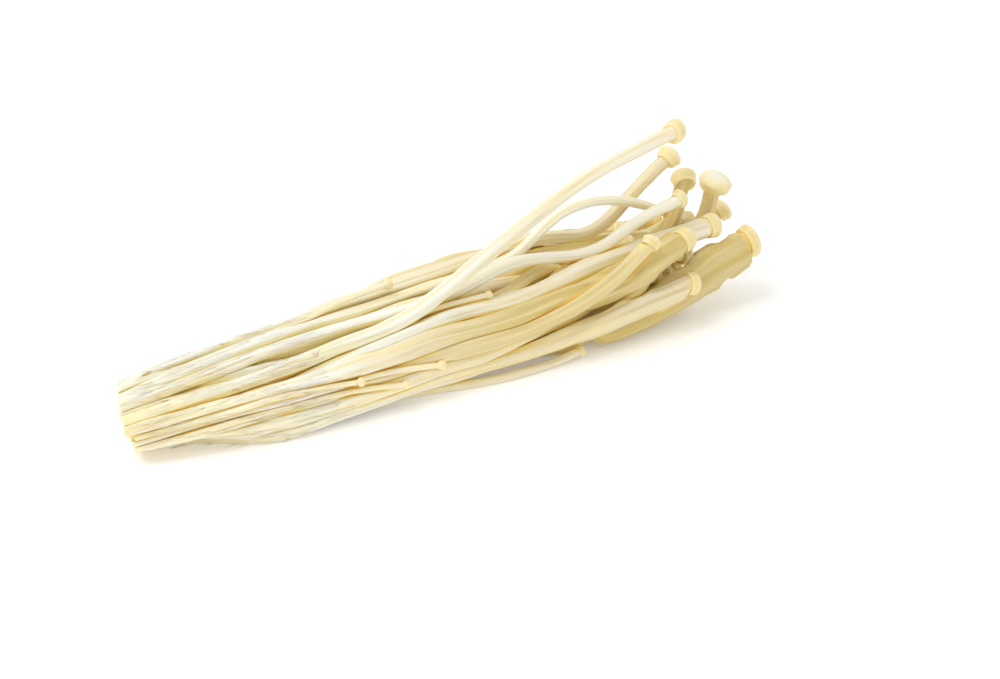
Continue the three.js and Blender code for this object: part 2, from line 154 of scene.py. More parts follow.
def eased(values, start, end):
    share = np.clip((values - start) / (end - start), 0, 1)
    return share * share * (3 - 2 * share)


stemLook = {
    "ringSpacing": 1.1 * mm,
    "sides": 32,
    "wander": 0.22 * mm,  # how far a stem strays from its smooth line
    "wanderLength": 17 * mm,
    "wanderSeed": 1795486309,  # without a number of its own, the wander follows the clock
    "wanderApart": 7.3,  # keeps one stem's wander unlike the next one's
    "wanderSlice": 0.4,
    "steadyEnds": 12 * mm,  # the wander fades in over this length from each end
    "girthChange": 0.08,  # share by which it thickens and thins
    "girthLength": 14 * mm,
    "girthApart": 3.1,
    "girthSlice": 5.2,
    "fluteDepth": 0.20,  # lengthwise flutes, as a share of the radius
    "lumpDepth": 0.12,
    "creaseDepth": 0.17,  # narrow lengthwise creases, where strands have grown together
    "creaseSpread": 0.80,  # creases round a stem, for each millimetre of its radius
    "footSwell": 1.24,  # how much the feet swell into the gaps between them
    "middleSwell": 1.08,
    "topSwell": 1.04,
    "swellEnds": (24 * mm, 74 * mm),
    "loosens": (42 * mm, 78 * mm),  # where the free stems come away from the rest
    "topSwellStarts": 0.62,  # share of the stem's length
    "footWeb": 0.55,  # how much further they swell towards a neighbour
    "middleWeb": 0.36,
    "groove": 0.03 * mm,  # left between stems that press on each other
    "edgeRounding": 0.05 * mm,
    "pinCrease": 0.3,  # against the others
    "grainStep": 1.7,  # between the noise of one stem and of the next
    "webFades": (0.6, 0.85),  # shares of a stem's length
    "freeWebLoss": 0.7,
    "pinWeb": 0.3,
}
noise.seed_set(stemLook["wanderSeed"])


class Mushroom:
    def __init__(self, node, number):
        self.node = node
        self.number = number
        self.isPin = node.startswith("pin")
        rings = ringsOf(node)
        middles = np.array([ring.mean(0) for ring in rings])
        radii = np.array([np.median(np.linalg.norm(r - m, axis=1)) for r, m in zip(rings, middles)])
        last = cadStems["stemRings"]
        self.capMiddle = middles[cadStems["widestRing"]]
        self.capRadius = radii[cadStems["widestRing"]]
        self.heading = rings[-1][0] - self.capMiddle
        self.heading /= np.linalg.norm(self.heading)
        stations = np.vstack([middles[1 : last + 1], self.capMiddle])
        girths = np.append(radii[1 : last + 1], radii[last])
        places = np.append(0, np.cumsum(np.linalg.norm(np.diff(stations, axis=0), axis=1)))
        steps = int(places[-1] / stemLook["ringSpacing"])
        self.along = np.linspace(0, places[-1], steps + 1)
        self.length = places[-1]
        self.line = smoothThrough(places, stations, self.along)
        self.girth = np.interp(self.along, places, girths)
        self.roam()
        self.findHeadings()

    def findHeadings(self):
        self.tangent = np.gradient(self.line, axis=0)
        self.tangent /= np.linalg.norm(self.tangent, axis=1)[:, None]

    def roam(self):
        for i, s in enumerate(self.along):
            fade = stemLook["steadyEnds"]
            ends = min(1, s / fade, (self.length - s) / fade)
            slot = self.number * stemLook["wanderApart"]
            spot = Vector((s / stemLook["wanderLength"], slot, stemLook["wanderSlice"]))
            stray = noise.noise_vector(spot)
            self.line[i] += np.array(stray) * stemLook["wander"] * ends
            slot = self.number * stemLook["girthApart"]
            spot = Vector((s / stemLook["girthLength"], slot, stemLook["girthSlice"]))
            self.girth[i] *= 1 + stemLook["girthChange"] * noise.noise(spot)


cutLook = {
    "evenness": 0.6,  # how far each foot is brought back to the plane of the cut
    "reach": 9 * mm,  # how much of a stem shifts with it
    "rim": 0.07 * mm,  # rounding at the edge of each cut foot
    "faceRings": (0.5, 0.92, 1.0),  # rings across each cut face, as shares of its width
    "slope": (0.05, 0.20),  # mm that a face leans by, at least and at most
    "lobes": 0.04,  # mm
    "wallRing": 0.16,  # share of a ring's spacing at which the wall begins
}


def levelFeet(mushrooms):
    # one stroke of a knife leaves the feet close to one plane
    cut = [mushroom for mushroom in mushrooms if not mushroom.isPin]
    feet = np.array([mushroom.line[0] for mushroom in cut])
    spots = np.column_stack([np.ones(len(feet)), feet[:, 1:]])
    plane = np.linalg.lstsq(spots, feet[:, 0], rcond=None)[0]
    for mushroom, off in zip(cut, feet[:, 0] - spots @ plane):
        shift = off * cutLook["evenness"] * (1 - eased(mushroom.along, 0, cutLook["reach"]))
        mushroom.line[:, 0] -= shift
        mushroom.findHeadings()


# noise over the stems: how it runs round a stem and along it
tubeGrain = {
    "flutes": (2.3, 22.0),
    "lumps": (0.5, 150.0),
    "creaseAlong": 13.0,
    "creaseSharpness": 14.0,
}


def makeTubeTree():
    tree, given, result = newGroup(
        "stemTube",
        "GeometryNodeTree",
        [
            ("Line", "NodeSocketGeometry"),
            ("Sides", "NodeSocketInt", 24),
            ("Flute Depth", "NodeSocketFloat", 0.05),
            ("Lump Depth", "NodeSocketFloat", 0.05),
            ("Crease Depth", "NodeSocketFloat", 0.05),
            ("Crease Spread", "NodeSocketFloat", 1.0),
            ("Seed", "NodeSocketFloat", 0.0),
            ("Finish", "NodeSocketMaterial"),
        ],
        [("Tube", "NodeSocketGeometry")],
    )
    line = addNode(tree, "GeometryNodeMeshToCurve", {"Mesh": given["Line"]}).outputs[0]
    girth = addNode(tree, "GeometryNodeInputNamedAttribute", {"Name": "girth"}, data_type="FLOAT").outputs[0]
    length = addNode(tree, "GeometryNodeSplineParameter").outputs["Length"]
    line = addNode(
        tree, "GeometryNodeStoreNamedAttribute",
        {"Geometry": line, "Name": "alongStem", "Value": length}, data_type="FLOAT", domain="POINT",
    ).outputs[0]
    circle = addNode(
        tree, "GeometryNodeCurvePrimitiveCircle", {"Resolution": given["Sides"], "Radius": 1.0}
    ).outputs[0]
    turn = addNode(tree, "GeometryNodeSplineParameter").outputs["Factor"]
    circle = addNode(
        tree, "GeometryNodeStoreNamedAttribute",
        {"Geometry": circle, "Name": "aroundStem", "Value": turn}, data_type="FLOAT", domain="POINT",
    ).outputs[0]
    tube = addNode(
        tree, "GeometryNodeCurveToMesh", {"Curve": line, "Profile Curve": circle, "Scale": girth}
    ).outputs[0]
    around = addNode(
        tree, "GeometryNodeInputNamedAttribute", {"Name": "aroundStem"}, data_type="FLOAT"
    ).outputs[0]
    along = addNode(
        tree, "GeometryNodeInputNamedAttribute", {"Name": "alongStem"}, data_type="FLOAT"
    ).outputs[0]
    angle = maths(tree, "MULTIPLY", around, math.tau)
    cosine = maths(tree, "COSINE", angle)
    sine = maths(tree, "SINE", angle)

    def grainOn(width, lengthwise):
        spot = addNode(
            tree, "ShaderNodeCombineXYZ",
            {
                "X": maths(tree, "MULTIPLY", cosine, width),
                "Y": maths(tree, "MULTIPLY", sine, width),
                "Z": maths(tree, "MULTIPLY", along, lengthwise),
            },
        ).outputs[0]
        grain = addNode(
            tree, "ShaderNodeTexNoise",
            {"Vector": spot, "W": given["Seed"], "Scale": 1.0, "Detail": 1.0},
            noise_dimensions="4D",
        ).outputs[0]
        return maths(tree, "SUBTRACT", grain, 0.5)

    flutes = maths(tree, "MULTIPLY", grainOn(*tubeGrain["flutes"]), given["Flute Depth"])
    lumps = maths(tree, "MULTIPLY", grainOn(*tubeGrain["lumps"]), given["Lump Depth"])
    fromCrease = maths(tree, "ABSOLUTE", grainOn(given["Crease Spread"], tubeGrain["creaseAlong"]))
    sharpened = maths(tree, "MULTIPLY", fromCrease, tubeGrain["creaseSharpness"])
    besideCrease = maths(tree, "MINIMUM", sharpened, 1.0)
    creases = maths(tree, "MULTIPLY", maths(tree, "SUBTRACT", besideCrease, 1.0), given["Crease Depth"])
    height = maths(tree, "MULTIPLY", maths(tree, "ADD", flutes, lumps), 2.0)
    height = maths(tree, "MULTIPLY", maths(tree, "ADD", height, creases), girth)
    outwards = addNode(
        tree, "ShaderNodeVectorMath",
        {0: addNode(tree, "GeometryNodeInputNormal").outputs[0], "Scale": height}, operation="SCALE",
    ).outputs[0]
    tube = addNode(tree, "GeometryNodeSetPosition", {"Geometry": tube, "Offset": outwards}).outputs[0]
    tube = addNode(
        tree, "GeometryNodeStoreNamedAttribute",
        {"Geometry": tube, "Name": "crease", "Value": maths(tree, "SUBTRACT", 1.0, besideCrease)},
        data_type="FLOAT", domain="POINT",
    ).outputs[0]
    tube = addNode(tree, "GeometryNodeRealizeInstances", {"Geometry": tube}).outputs[0]
    tube = addNode(
        tree, "GeometryNodeSetMaterial", {"Geometry": tube, "Material": given["Finish"]}
    ).outputs[0]
    plug(tree, tube, result["Tube"])
    return tree


def lineObject(name, points, girths):
    mesh = bpy.data.meshes.new(name)
    mesh.from_pydata([tuple(p) for p in points], [(i, i + 1) for i in range(len(points) - 1)], [])
    mesh.attributes.new("girth", "FLOAT", "POINT").data.foreach_set("value", np.asarray(girths, np.float32))
    holder = bpy.data.objects.new(name, mesh)
    bpy.context.scene.collection.objects.link(holder)
    return holder


def tubeAlong(mushroom, tree):
    # rings of points round the stem, as an array of ring, side and xyz, and how deep each is creased
    holder = lineObject("line", mushroom.line, mushroom.girth)
    modifier = holder.modifiers.new("tube", "NODES")
    modifier.node_group = tree
    setInput(modifier, "Sides", stemLook["sides"])
    setInput(modifier, "Flute Depth", stemLook["fluteDepth"])
    setInput(modifier, "Lump Depth", stemLook["lumpDepth"])
    creasing = stemLook["pinCrease"] if mushroom.isPin else 1
    setInput(modifier, "Crease Depth", stemLook["creaseDepth"] * creasing)
    setInput(modifier, "Crease Spread", stemLook["creaseSpread"] * float(mushroom.girth.mean() / mm))
    setInput(modifier, "Seed", mushroom.number * stemLook["grainStep"])
    mesh = plainMesh(holder)
    co = np.zeros(len(mesh.vertices) * 3)
    mesh.vertices.foreach_get("co", co)
    creased = np.zeros(len(mesh.vertices))
    mesh.attributes["crease"].data.foreach_get("value", creased)
    bpy.data.objects.remove(holder)
    bpy.data.meshes.remove(mesh)
    rings = (len(mushroom.line), stemLook["sides"])
    return co.reshape(*rings, 3), creased.reshape(rings)


freeStems = ("high_mushroom", "looped_mushroom", "second_high_mushroom", "trailing_mushroom")


sheetStems = {  # stems that have grown flat and broad under the cap, and how broad
    "far_end_mushroom": 1.50,
    "broad_mushroom": 1.35,
    "low_front_mushroom": 1.18,
}
sheetLook = {  # shares of a stem's length
    "broadens": (0.5, 0.8),
    "narrows": (0.90, 1.0),
    "narrowsBy": 0.45,
}


def broaden(mushroom, tube):
    # flat stems grow broader upwards and downwards of their line, towards the cap
    broad = sheetStems.get(mushroom.node, 1.0)
    share = mushroom.along / mushroom.length
    narrowing = 1 - sheetLook["narrowsBy"] * eased(share, *sheetLook["narrows"])
    extra = (broad - 1) * eased(share, *sheetLook["broadens"]) * narrowing
    upward = np.cross(mushroom.tangent, np.cross([0, 0, 1], mushroom.tangent))
    upward /= np.linalg.norm(upward, axis=1)[:, None]
    offset = tube - mushroom.line[:, None]
    height = (offset * upward[:, None]).sum(2)
    return tube + upward[:, None] * (height * extra[:, None])[:, :, None]


def swellOf(mushroom):
    # how much each ring swells: most at the foot, least in the middle
    middle = stemLook["middleSwell"]
    if mushroom.isPin:
        return np.full(len(mushroom.along), 1.0)
    start, end = stemLook["swellEnds"]
    footward = (stemLook["footSwell"] - middle) * (1 - eased(mushroom.along, start, end))
    share = mushroom.along / mushroom.length
    capward = (stemLook["topSwell"] - middle) * eased(share, stemLook["topSwellStarts"], 1)
    loose = 0.0 if mushroom.node in freeStems else 1.0
    return middle + footward + capward * loose


def webOf(mushroom):
    start, end = stemLook["swellEnds"]
    footward = 1 - eased(mushroom.along, start, end)
    web = stemLook["middleWeb"] + (stemLook["footWeb"] - stemLook["middleWeb"]) * footward
    if mushroom.node not in sheetStems:
        web *= 1 - eased(mushroom.along / mushroom.length, *stemLook["webFades"])
    if mushroom.node in freeStems:
        return web * (1 - stemLook["freeWebLoss"] * eased(mushroom.along, *stemLook["loosens"]))
    return web * (stemLook["pinWeb"] if mushroom.isPin else 1)


pressLook = {
    "near": 2.2,  # neighbours nearer than this many times their radii together count
    "leastSlant": 0.5,
    "leastReach": 0.35,  # of a stem's radius, which it always keeps
    "leastFacing": 0.05,
    "webFacing": 0.75,
    "touching": (1.1, 1.6),  # from touching to apart, in radii together
}


def pressTogether(mushroom, tube, others):
    # each ring swells, and stops at the plane halfway to a neighbour
    outward = tube - mushroom.line[:, None]
    reach = np.linalg.norm(outward, axis=2)
    outward = outward / reach[:, :, None]
    limit = np.full(reach.shape, 1.0)
    beside = np.zeros(reach.shape)
    rows = np.arange(len(mushroom.line))
    for other in others:
        if other is mushroom:
            continue
        apart = np.linalg.norm(mushroom.line[:, None] - other.line[None], axis=2)
        nearest = apart.argmin(1)
        near = apart[rows, nearest] < pressLook["near"] * (mushroom.girth + other.girth[nearest])
        if not near.any():
            continue
        point = other.line[nearest]
        heading = other.tangent[nearest]
        ahead = ((point - mushroom.line) * mushroom.tangent).sum(1)
        slant = (heading * mushroom.tangent).sum(1)
        slant = np.where(np.abs(slant) > pressLook["leastSlant"], slant, np.inf)
        point = point - heading * (ahead / slant)[:, None]
        away = point - mushroom.line
        distance = np.linalg.norm(away, axis=1)
        halfway = (distance**2 + mushroom.girth**2 - other.girth[nearest] ** 2) / (2 * distance)
        halfway = np.maximum(halfway - stemLook["groove"] / 2, pressLook["leastReach"] * mushroom.girth)
        towards = (outward * (away / distance[:, None])[:, None]).sum(2)
        least = pressLook["leastFacing"]
        block = np.where(towards > least, halfway[:, None] / np.maximum(towards, least), 1.0)
        limit = np.where(near[:, None], np.minimum(limit, block), limit)
        touching = 1 - eased(distance / (mushroom.girth + other.girth[nearest]), *pressLook["touching"])
        beside = np.maximum(beside, eased(towards, 0.0, pressLook["webFacing"]) * touching[:, None])
    wanted = reach * (swellOf(mushroom)[:, None] + webOf(mushroom)[:, None] * beside)
    softness = stemLook["edgeRounding"]
    lower = np.minimum(wanted, limit)
    blend = np.exp((lower - wanted) / softness) + np.exp((lower - limit) / softness)
    reach = lower - softness * np.log(blend)
    tube = mushroom.line[:, None] + outward * reach[:, :, None]
    tube[:, :, 2] = np.maximum(tube[:, :, 2], 0.0)
    return tube


capLook = {
    # (width, height) up the lip, from the stem at 0 to the widest place at 1
    "lip": [
        (0.0, -0.50), (0.04, -0.42), (0.18, -0.43), (0.46, -0.47),
        (0.72, -0.40), (0.83, -0.24), (0.82, -0.12),
    ],
    # (width, height) over the crown, as shares of the cap's radius, as all heights are
    "dome": [
        (0.94, -0.02), (1.0, 0.13), (0.985, 0.30), (0.89, 0.48),
        (0.71, 0.63), (0.46, 0.73), (0.2, 0.77),
    ],
    "crown": 0.78,
    "rings": 30,
    "stemEnds": 0.50,  # below the cap's widest place
    "pinStemEnds": 0.9,
    "widestStem": 0.86,  # share of a cap's radius that its stem may take
    "widening": 1.02,  # against the plain cap
    "heightChange": 0.10,
    "tilt": 20.0,  # degrees that a cap may sit askew
    "unevenness": 0.17,
    "unevenScale": 0.7,
    "unevenApart": 5.1,
    "beadRings": 11,
    "beadRoundness": 0.8,
    "beadDepth": 0.85,
    "skinStarts": (0.0, 0.05, 0.15, 0.35, 0.6, 0.85),  # how the cap's skin sets in, ring by ring
}
warmthsAndShade = {  # how much of the warm tint towards the cap each stem takes: partly the stems' own warmer tone, partly painted shade, most on the stems that lie low and to the right; the rest fall between the two numbers of the range that follows
    "high_mushroom": 0.22,
    "looped_mushroom": 0.08,
    "second_high_mushroom": 0.55,
    "crossing_mushroom": 0.12,
    "wavy_mushroom": 0.26,
    "far_end_mushroom": 1.0,
    "broad_mushroom": 0.95,
    "low_front_mushroom": 0.55,
    "belly_mushroom": 0.5,
    "trailing_mushroom": 0.4,
}
otherWarmthAndShade = (0.55, 1.0)
pinWarmthAndShade = 0.3
grainApart = 0.31
capShapes = {  # (how wide, how tall) some caps are against the rest
    "big_cap_mushroom": (1.12, 0.80),
    "far_end_mushroom": (1.02, 0.66),
    "wavy_mushroom": (1.0, 0.9),
    "shaded_mushroom": (1.0, 0.8),
}
capFaces = {  # where the crowns of some caps point
    "big_cap_mushroom": (0.10, -0.22, 0.97),
    "upturned_mushroom": (0.30, 0.86, 0.42),
    "far_end_mushroom": (0.95, 0.05, 0.18),
}


def beadProfile(stemShare):
    # a pin's head: a plain bead with no lip
    profile = []
    rings = capLook["beadRings"]
    for i in range(rings):
        turn = math.pi / 2 * (i / rings - 1)
        width = stemShare + (1 - stemShare) * math.cos(turn) ** capLook["beadRoundness"]
        profile.append((width, capLook["beadDepth"] * math.sin(turn)))
    for i in range(rings):
        turn = math.pi / 2 * i / rings
        profile.append((math.cos(turn), capLook["crown"] * math.sin(turn)))
    return np.array(profile)


def capProfile(stemShare):
    # (radius, height) from the top of the stem round the lip to the crown
    lip = [(stemShare + (1 - stemShare) * width, height) for width, height in capLook["lip"]]
    outline = np.array(lip + capLook["dome"])
    places = np.arange(len(outline))
    return smoothThrough(places, outline, np.linspace(0, places[-1], capLook["rings"]))


def turned(vector, axis, angle):
    return np.array(Matrix.Rotation(angle, 3, Vector(axis)) @ Vector(vector))


def capRings(mushroom, lastRing, rng):
    facing = np.array(capFaces.get(mushroom.node, mushroom.heading), float)
    facing /= np.linalg.norm(facing)
    if mushroom.node not in capFaces:
        askew = np.cross(facing, [rng.uniform(-1, 1) for _ in range(3)])
        askew /= np.linalg.norm(askew)
        facing = turned(facing, askew, math.radians(capLook["tilt"]) * rng.uniform(-1, 1))
    outward = lastRing - lastRing.mean(0)
    outward -= (outward @ facing)[:, None] * facing
    outward /= np.linalg.norm(outward, axis=1)[:, None]
    radius = mushroom.capRadius * (1 if mushroom.isPin else capLook["widening"])
    wide, squat = capShapes.get(mushroom.node, (1, 1))
    radius *= wide
    tall = squat / wide + capLook["heightChange"] * rng.uniform(-1, 1)
    stemShare = min(mushroom.girth[-1] / radius, capLook["widestStem"])
    profile = beadProfile(stemShare) if mushroom.isPin else capProfile(stemShare)
    rings = []
    for width, height in profile:
        ring = mushroom.capMiddle + outward * (width * radius) + facing * (height * tall * radius)
        for k in range(len(ring)):
            slot = Vector((mushroom.number * capLook["unevenApart"], 0, 0))
            spot = Vector(ring[k] / radius * capLook["unevenScale"]) + slot
            ring[k] += outward[k] * width * radius * capLook["unevenness"] * noise.noise(spot)
        rings.append(ring)
    crown = mushroom.capMiddle + facing * (capLook["crown"] * tall * radius)
    return rings, crown


def footRings(mushroom, firstRing, secondRing, rng):
    # the cut, from its middle to its rim and the start of the wall
    middle = firstRing.mean(0)
    back = -mushroom.tangent[0]
    turn = np.arange(len(firstRing)) / len(firstRing) * math.tau
    slope = rng.uniform(*cutLook["slope"]) * np.cos(turn + rng.uniform(0, math.tau))
    uneven = rng.uniform(0.0, cutLook["lobes"]) * np.cos(3 * turn + rng.uniform(0, math.tau))
    edge = firstRing + back * ((slope + uneven) * mm)[:, None]
    outward = edge - middle
    outward /= np.linalg.norm(outward, axis=1)[:, None]
    rim = edge - outward * cutLook["rim"]
    face = [middle + (rim - middle) * share for share in cutLook["faceRings"]]
    wall = edge + (secondRing - edge) * cutLook["wallRing"]
    return middle, [*face, edge - back * cutLook["rim"], wall]


def closedShell(name, firstPole, rings, lastPole):
    sides = len(rings[0])
    points = np.vstack([[firstPole], *rings, [lastPole]])
    faces = []
    last = len(points) - 1
    for k in range(sides):
        after = (k + 1) % sides
        faces.append((0, 1 + after, 1 + k))
        faces.append((last, last - sides + k, last - sides + after))
    for i in range(len(rings) - 1):
        base = 1 + i * sides
        for k in range(sides):
            after = (k + 1) % sides
            faces.append((base + k, base + after, base + sides + after, base + sides + k))
    mesh = bpy.data.meshes.new(name)
    mesh.from_pydata([tuple(p) for p in points], [], faces)
    shape = bmesh.new()
    shape.from_mesh(mesh)
    bmesh.ops.recalc_face_normals(shape, faces=shape.faces)
    shape.to_mesh(mesh)
    shape.free()
    mesh.polygons.foreach_set("use_smooth", [True] * len(mesh.polygons))
    piece = bpy.data.objects.new(name, mesh)
    bpy.context.scene.collection.objects.link(piece)
    return piece


def storeValues(mesh, name, values, kind="FLOAT"):
    field = "vector" if kind == "FLOAT_VECTOR" else "value"
    attribute = mesh.attributes.new(name, kind, "POINT")
    attribute.data.foreach_set(field, np.asarray(values, np.float32).ravel())


# painted light: feet lying higher get less straw tint and paler painted gap shade, as the top of the bunch
# is more lit
paintedLightOnTopFeet = {"from": 6.5 * mm, "to": 11.0 * mm, "less": 0.75}  # feet that lie on top are paler


def growMushroom(mushroom, tube, creased):
    rng = random.Random(mushroom.number)
    underCap = capLook["pinStemEnds"] if mushroom.isPin else capLook["stemEnds"]
    hollowStart = mushroom.length - underCap * mushroom.capRadius
    stemRings = [ring for ring, s in zip(tube, mushroom.along) if s < hollowStart]
    cap, crown = capRings(mushroom, stemRings[-1], rng)
    firstPole, foot = footRings(mushroom, stemRings[0], stemRings[1], rng)
    rings = [*foot, *stemRings[1:], *cap]
    for ring in rings:
        ring[:, 2] = np.maximum(ring[:, 2], 0.0)
    piece = closedShell(mushroom.node + "_flesh", firstPole, rings, crown)
    sides = stemLook["sides"]
    count = len(rings)
    stemAlong = mushroom.along[1 : len(stemRings)]
    capAlong = [mushroom.length] * len(cap)
    along = np.concatenate([[0.0] * len(foot), stemAlong, capAlong])
    starts = capLook["skinStarts"]
    onCap = np.concatenate([np.zeros(count - len(cap)), starts, np.ones(len(cap) - len(starts))])
    turn = np.arange(sides) / sides * math.tau
    grain = np.zeros((count, sides, 3))
    spread = mushroom.girth.mean()
    grain[:, :, 0] = np.cos(turn) * spread
    grain[:, :, 1] = np.sin(turn) * spread
    grain[:, :, 2] = along[:, None] + mushroom.number * grainApart
    for ring, reach in enumerate(cutLook["faceRings"]):
        grain[ring, :, :2] *= reach
    mesh = piece.data

    def perVertex(values, first, last):
        return np.concatenate([[first], np.repeat(values, sides), [last]])

    storeValues(mesh, "share", perVertex(along / mushroom.length, 0, 1))
    storeValues(mesh, "toFoot", perVertex(along / mm, 0, mushroom.length / mm))
    storeValues(mesh, "onCap", perVertex(onCap, 0, 1))
    overCap = np.zeros(count)
    overCap[-len(cap) :] = np.linspace(0, 1, len(cap))
    storeValues(mesh, "overCap", perVertex(overCap, 0, 1))
    onCut = np.zeros(count)
    onCut[: len(cutLook["faceRings"])] = 1.0
    storeValues(mesh, "onCut", perVertex(onCut, 1, 0))
    stemCreases = creased[1 : len(stemRings)].ravel()
    plainCap = np.zeros(len(cap) * sides)
    allCreases = [[0.0], *[creased[0]] * len(foot), stemCreases, plainCap, [0.0]]
    storeValues(mesh, "crease", np.concatenate(allCreases))
    warmthAndShade = warmthsAndShade.get(mushroom.node, pinWarmthAndShade if mushroom.isPin else rng.uniform(*otherWarmthAndShade))
    storeValues(mesh, "warmthAndShade", np.full(count * sides + 2, warmthAndShade))
    onTop = eased(mushroom.line[0][2], paintedLightOnTopFeet["from"], paintedLightOnTopFeet["to"])
    storeValues(mesh, "straw", np.full(count * sides + 2, 1 - paintedLightOnTopFeet["less"] * onTop))
    allGrain = np.vstack([grain[0].mean(0), grain.reshape(-1, 3), grain[-1].mean(0)])
    storeValues(mesh, "grain", allGrain, "FLOAT_VECTOR")
    return piece


# how deep each place lies among its neighbours, found by rays
gapLook = {
    "rays": 20,
    "spread": 0.92,  # of a half sphere
    "reach": 7 * mm,
    "lift": 0.05,  # mm above the skin at which a ray starts
    "ringStep": 2,
    "sideStep": 2,
}


def shadeGaps(pieces):
    points, faces = [], []
    for piece in pieces:
        base = len(points)
        points += [v.co.copy() for v in piece.data.vertices]
        faces += [[base + i for i in p.vertices] for p in piece.data.polygons]
    tree = BVHTree.FromPolygons(points, faces)
    golden = math.pi * (3 - math.sqrt(5))
    rays = []
    for i in range(gapLook["rays"]):
        height = 1 - (i + 0.5) / gapLook["rays"] * gapLook["spread"]
        flat = math.sqrt(1 - height * height)
        rays.append((flat * math.cos(golden * i), flat * math.sin(golden * i), height))
    total = sum(ray[2] for ray in rays)
    sides = stemLook["sides"]
    for piece in pieces:
        mesh = piece.data
        count = len(mesh.vertices)
        ringCount = (count - 2) // sides
        picked = list(range(0, ringCount, gapLook["ringStep"]))
        if picked[-1] != ringCount - 1:
            picked.append(ringCount - 1)
        coarse = np.zeros((len(picked), sides // gapLook["sideStep"]))
        for a, ring in enumerate(picked):
            for b in range(coarse.shape[1]):
                vertex = mesh.vertices[1 + ring * sides + b * gapLook["sideStep"]]
                normal = vertex.normal
                across = normal.orthogonal().normalized()
                upward = normal.cross(across)
                start = vertex.co + normal * gapLook["lift"] * mm
                hidden = 0.0
                for x, y, z in rays:
                    direction = across * x + upward * y + normal * z
                    hit = tree.ray_cast(start, direction, gapLook["reach"])
                    if hit[0] is not None:
                        hidden += z * (1 - hit[3] / gapLook["reach"])
                coarse[a, b] = hidden / total
        wrapped = np.hstack([coarse, coarse[:, :1]])
        fine = np.zeros((len(picked), sides))
        spots = np.arange(sides) / gapLook["sideStep"]
        for a in range(len(picked)):
            fine[a] = np.interp(spots, np.arange(wrapped.shape[1]), wrapped[a])
        allRings = np.zeros((ringCount, sides))
        for k in range(sides):
            allRings[:, k] = np.interp(np.arange(ringCount), picked, fine[:, k])
        values = np.concatenate([[allRings[0].mean()], allRings.ravel(), [allRings[-1].mean()]])
        storeValues(mesh, "gap", values)


# torn fibres and scraps that cling near the cut
fibreLook = {
    "threads": {"density": 26.0, "length": 8.0 * mm, "width": 0.26 * mm, "swing": 0.07, "seed": 3},
    "flakes": {"density": 1.3, "length": 2.4 * mm, "width": 0.42 * mm, "swing": 0.25, "seed": 8},
    "reach": 40.0,  # mm from the cut
    "clear": 2.0,  # mm from the cut that stay bare
    "sizes": (0.45, 1.25),
    "flatness": 0.4,
    "shownBelow": 0.34,  # gap value under which a place is on the outside
}


perSquareCentimetre = 10000.0


def makeFibreTree():
    tree, given, result = newGroup(
        "clingingFibres",
        "GeometryNodeTree",
        [
            ("Skin", "NodeSocketGeometry"),
            ("Density", "NodeSocketFloat", 20.0),
            ("Length", "NodeSocketFloat", 0.005),
            ("Width", "NodeSocketFloat", 0.0002),
            ("Swing", "NodeSocketFloat", 0.1),
            ("Reach", "NodeSocketFloat", 40.0),
            ("Shown Below", "NodeSocketFloat", 0.3),
            ("Seed", "NodeSocketInt", 1),
            ("Finish", "NodeSocketMaterial"),
        ],
        [("Fibres", "NodeSocketGeometry")],
    )
    toFoot = addNode(
        tree, "GeometryNodeInputNamedAttribute", {"Name": "toFoot"}, data_type="FLOAT"
    ).outputs[0]
    gap = addNode(tree, "GeometryNodeInputNamedAttribute", {"Name": "gap"}, data_type="FLOAT").outputs[0]
    near = maths(tree, "LESS_THAN", toFoot, given["Reach"])
    past = maths(tree, "GREATER_THAN", toFoot, fibreLook["clear"])
    shown = maths(tree, "LESS_THAN", gap, given["Shown Below"])
    wanted = maths(tree, "MULTIPLY", maths(tree, "MULTIPLY", near, past), shown)
    density = maths(tree, "MULTIPLY", given["Density"], perSquareCentimetre)
    spots = addNode(
        tree, "GeometryNodeDistributePointsOnFaces",
        {
            "Mesh": given["Skin"], "Selection": wanted,
            "Density": density, "Seed": given["Seed"],
        },
    )
    fibre = addNode(tree, "GeometryNodeMeshIcoSphere", {"Radius": 1.0, "Subdivisions": 1}).outputs[0]
    outwards = addNode(
        tree, "FunctionNodeAlignRotationToVector", {"Vector": spots.outputs["Normal"]}, axis="Z"
    ).outputs[0]
    swung = addNode(
        tree, "FunctionNodeRandomValue",
        {2: maths(tree, "MULTIPLY", given["Swing"], -1.0), 3: given["Swing"], "Seed": given["Seed"]},
        data_type="FLOAT",
    ).outputs[1]
    heading = addNode(tree, "ShaderNodeCombineXYZ", {"X": 1.0, "Y": swung, "Z": swung}).outputs[0]
    laid = addNode(
        tree, "FunctionNodeAlignRotationToVector", {"Rotation": outwards, "Vector": heading},
        axis="X", pivot_axis="Z",
    ).outputs[0]
    smallest, largest = fibreLook["sizes"]
    size = addNode(
        tree, "FunctionNodeRandomValue", {2: smallest, 3: largest, "Seed": given["Seed"]}, data_type="FLOAT"
    ).outputs[1]
    halfLength = maths(tree, "MULTIPLY", maths(tree, "MULTIPLY", given["Length"], 0.5), size)
    halfWidth = maths(tree, "MULTIPLY", given["Width"], 0.5)
    shape = addNode(
        tree, "ShaderNodeCombineXYZ",
        {"X": halfLength, "Y": halfWidth, "Z": maths(tree, "MULTIPLY", halfWidth, fibreLook["flatness"])},
    ).outputs[0]
    fibres = addNode(
        tree, "GeometryNodeInstanceOnPoints",
        {"Points": spots.outputs["Points"], "Instance": fibre, "Rotation": laid, "Scale": shape},
    ).outputs[0]
    fibres = addNode(tree, "GeometryNodeRealizeInstances", {"Geometry": fibres}).outputs[0]
    fibres = addNode(
        tree, "GeometryNodeSetMaterial", {"Geometry": fibres, "Material": given["Finish"]}
    ).outputs[0]
    plug(tree, fibres, result["Fibres"])
    return tree


